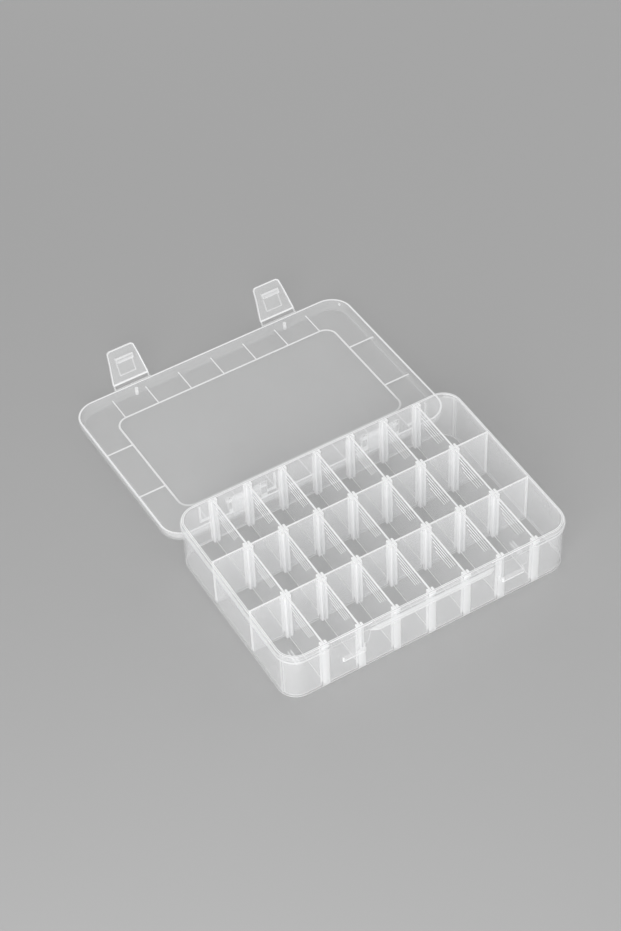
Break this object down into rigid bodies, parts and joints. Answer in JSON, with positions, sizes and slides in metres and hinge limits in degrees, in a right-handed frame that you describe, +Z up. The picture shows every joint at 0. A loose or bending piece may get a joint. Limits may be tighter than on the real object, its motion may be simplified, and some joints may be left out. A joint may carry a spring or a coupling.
{
  "type": "compartment box",
  "caption": "Clear plastic thread organiser box with a hinged lid lying open, two latches on the lid's edge, and removable dividers standing in guides between fixed row walls.",
  "frame": {"origin": "middle of the tray's underside", "axes": "+X to the right along the latch side, +Y towards the hinges and the open lid, +Z up"},
  "size_m": [0.1978, 0.2882, 0.038],
  "materials": {
    "tray_plastic": "clear milky polypropylene",
    "lid_plastic": "clear milky polypropylene",
    "divider_plastic": "clear milky polypropylene with fine grip lines"
  },
  "bodies": {
    "tray": {"tray": "tray_plastic"},
    "lid": {"lid": "lid_plastic"},
    "latch_left": {"latch_left": "lid_plastic"},
    "latch_right": {"latch_right": "lid_plastic"},
    "divider_1_back": {"divider_1_back": "divider_plastic"},
    "divider_2_back": {"divider_2_back": "divider_plastic"},
    "divider_3_back": {"divider_3_back": "divider_plastic"},
    "divider_4_back": {"divider_4_back": "divider_plastic"},
    "divider_5_back": {"divider_5_back": "divider_plastic"},
    "divider_6_back": {"divider_6_back": "divider_plastic"},
    "divider_7_back": {"divider_7_back": "divider_plastic"},
    "divider_1_middle": {"divider_1_middle": "divider_plastic"},
    "divider_2_middle": {"divider_2_middle": "divider_plastic"},
    "divider_3_middle": {"divider_3_middle": "divider_plastic"},
    "divider_4_middle": {"divider_4_middle": "divider_plastic"},
    "divider_5_middle": {"divider_5_middle": "divider_plastic"},
    "divider_6_middle": {"divider_6_middle": "divider_plastic"},
    "divider_7_middle": {"divider_7_middle": "divider_plastic"},
    "divider_1_front": {"divider_1_front": "divider_plastic"},
    "divider_2_front": {"divider_2_front": "divider_plastic"},
    "divider_3_front": {"divider_3_front": "divider_plastic"},
    "divider_4_front": {"divider_4_front": "divider_plastic"},
    "divider_5_front": {"divider_5_front": "divider_plastic"},
    "divider_6_front": {"divider_6_front": "divider_plastic"},
    "divider_7_front": {"divider_7_front": "divider_plastic"}
  },
  "joints": [
    {"name": "lid_hinge", "type": "hinge", "parent": "tray", "child": "lid", "pos_m": [0, 0.06745, 0.0246], "axis": [-1, 0, 0], "range_deg": [-183.44, 0]},
    {"name": "latch_left_fold", "type": "hinge", "parent": "lid", "child": "latch_left", "pos_m": [-0.054, 0.20301, 0.00574], "axis": [-1, 0, 0], "range_deg": [-27, 63]},
    {"name": "latch_right_fold", "type": "hinge", "parent": "lid", "child": "latch_right", "pos_m": [0.054, 0.20301, 0.00574], "axis": [-1, 0, 0], "range_deg": [-33, 57]},
    {"name": "divider_1_back_lift", "type": "slide", "parent": "tray", "child": "divider_1_back", "axis": [0, 0, 1], "range_m": [0, 0.04]},
    {"name": "divider_2_back_lift", "type": "slide", "parent": "tray", "child": "divider_2_back", "axis": [0, 0, 1], "range_m": [0, 0.04]},
    {"name": "divider_3_back_lift", "type": "slide", "parent": "tray", "child": "divider_3_back", "axis": [0, 0, 1], "range_m": [0, 0.04]},
    {"name": "divider_4_back_lift", "type": "slide", "parent": "tray", "child": "divider_4_back", "axis": [0, 0, 1], "range_m": [0, 0.04]},
    {"name": "divider_5_back_lift", "type": "slide", "parent": "tray", "child": "divider_5_back", "axis": [0, 0, 1], "range_m": [0, 0.04]},
    {"name": "divider_6_back_lift", "type": "slide", "parent": "tray", "child": "divider_6_back", "axis": [0, 0, 1], "range_m": [0, 0.04]},
    {"name": "divider_7_back_lift", "type": "slide", "parent": "tray", "child": "divider_7_back", "axis": [0, 0, 1], "range_m": [0, 0.04]},
    {"name": "divider_1_middle_lift", "type": "slide", "parent": "tray", "child": "divider_1_middle", "axis": [0, 0, 1], "range_m": [0, 0.04]},
    {"name": "divider_2_middle_lift", "type": "slide", "parent": "tray", "child": "divider_2_middle", "axis": [0, 0, 1], "range_m": [0, 0.04]},
    {"name": "divider_3_middle_lift", "type": "slide", "parent": "tray", "child": "divider_3_middle", "axis": [0, 0, 1], "range_m": [0, 0.04]},
    {"name": "divider_4_middle_lift", "type": "slide", "parent": "tray", "child": "divider_4_middle", "axis": [0, 0, 1], "range_m": [0, 0.04]},
    {"name": "divider_5_middle_lift", "type": "slide", "parent": "tray", "child": "divider_5_middle", "axis": [0, 0, 1], "range_m": [0, 0.04]},
    {"name": "divider_6_middle_lift", "type": "slide", "parent": "tray", "child": "divider_6_middle", "axis": [0, 0, 1], "range_m": [0, 0.04]},
    {"name": "divider_7_middle_lift", "type": "slide", "parent": "tray", "child": "divider_7_middle", "axis": [0, 0, 1], "range_m": [0, 0.04]},
    {"name": "divider_1_front_lift", "type": "slide", "parent": "tray", "child": "divider_1_front", "axis": [0, 0, 1], "range_m": [0, 0.04]},
    {"name": "divider_2_front_lift", "type": "slide", "parent": "tray", "child": "divider_2_front", "axis": [0, 0, 1], "range_m": [0, 0.04]},
    {"name": "divider_3_front_lift", "type": "slide", "parent": "tray", "child": "divider_3_front", "axis": [0, 0, 1], "range_m": [0, 0.04]},
    {"name": "divider_4_front_lift", "type": "slide", "parent": "tray", "child": "divider_4_front", "axis": [0, 0, 1], "range_m": [0, 0.04]},
    {"name": "divider_5_front_lift", "type": "slide", "parent": "tray", "child": "divider_5_front", "axis": [0, 0, 1], "range_m": [0, 0.04]},
    {"name": "divider_6_front_lift", "type": "slide", "parent": "tray", "child": "divider_6_front", "axis": [0, 0, 1], "range_m": [0, 0.04]},
    {"name": "divider_7_front_lift", "type": "slide", "parent": "tray", "child": "divider_7_front", "axis": [0, 0, 1], "range_m": [0, 0.04]}
  ]
}
